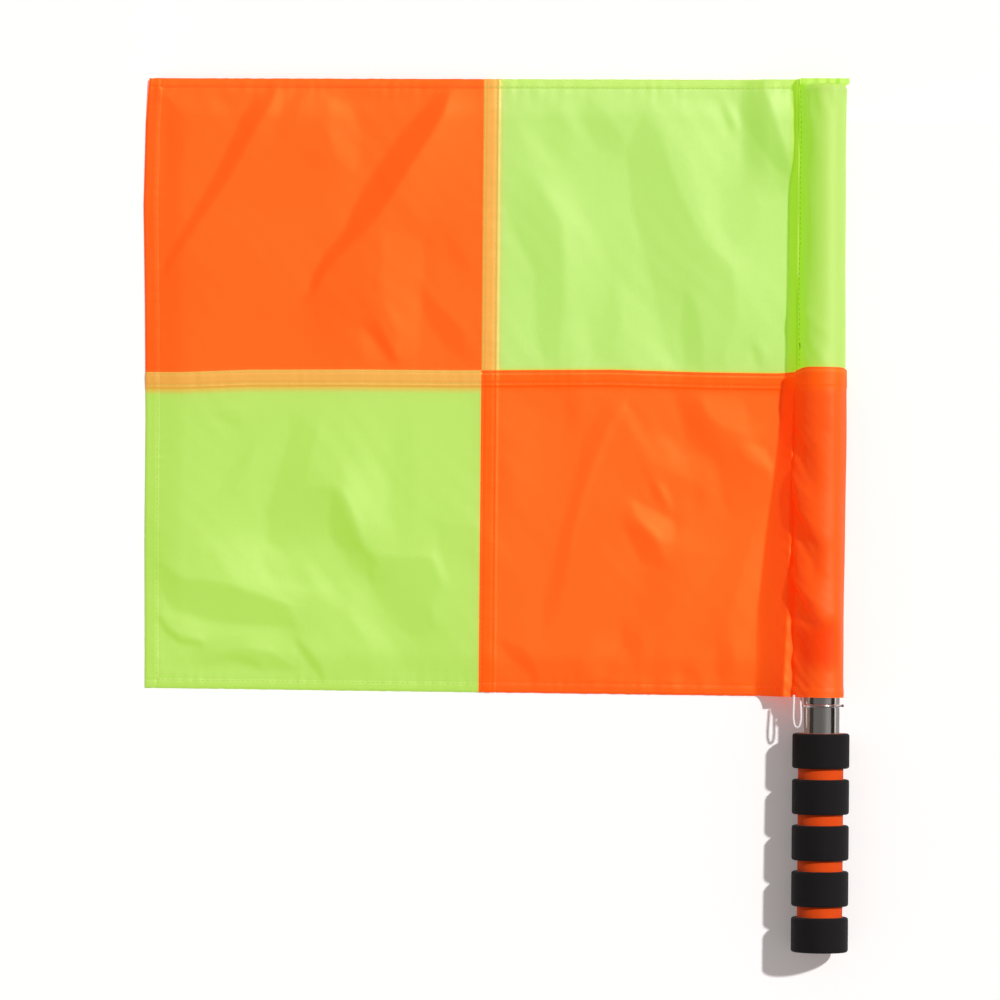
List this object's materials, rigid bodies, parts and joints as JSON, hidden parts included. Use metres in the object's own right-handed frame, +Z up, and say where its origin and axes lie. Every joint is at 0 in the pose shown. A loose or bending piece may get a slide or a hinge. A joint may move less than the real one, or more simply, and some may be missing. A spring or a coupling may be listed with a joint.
{
  "type": "linesman flag",
  "caption": "Checkered linesman flag: quartered orange and yellow-green cloth sleeved on a steel tube, with a grooved foam grip and an elastic loop.",
  "frame": {"origin": "centre of the bounding box's base, on the surface that the flag lies on", "axes": "+X from the cloth's free edge to the pole, +Y along the pole from the grip to the tip, +Z up"},
  "size_m": [0.4218, 0.5194, 0.0357],
  "materials": {
    "steel": "polished stainless steel tube",
    "steel_wire": "bright round wire",
    "plug_plastic": "moulded black plastic",
    "orange_foam": "matte closed-cell foam",
    "black_foam": "matte closed-cell foam",
    "orange_cloth": "thin plain-weave polyester, slightly see-through",
    "yellow_green_cloth": "thin plain-weave polyester, slightly see-through",
    "white_elastic": "thin braided round elastic"
  },
  "bodies": {
    "pole": {"pole_tube": "steel", "tip_plug": "plug_plastic", "butt_plug": "plug_plastic", "grip_core": "orange_foam", "grip_ring_1": "black_foam", "grip_ring_2": "black_foam", "grip_ring_3": "black_foam", "grip_ring_4": "black_foam", "grip_ring_5": "black_foam"},
    "stop_ring": {"stop_ring": "steel_wire"},
    "flag": {"upper_fly_panel": "orange_cloth", "upper_hoist_panel": "yellow_green_cloth", "lower_fly_panel": "yellow_green_cloth", "lower_hoist_panel": "orange_cloth", "upper_sleeve": "yellow_green_cloth", "lower_sleeve": "orange_cloth", "sleeve_end_hem": "yellow_green_cloth", "elastic_loop": "white_elastic"}
  },
  "joints": [
    {"name": "flag_turn", "type": "hinge", "parent": "pole", "child": "stop_ring", "pos_m": [0.19386, -0.11301, 0.01678], "axis": [0, 0.9999, -0.0122], "continuous": true},
    {"name": "flag_slide", "type": "slide", "parent": "stop_ring", "child": "flag", "axis": [0, 0.9999, -0.0122], "range_m": [0, 0.35]}
  ]
}
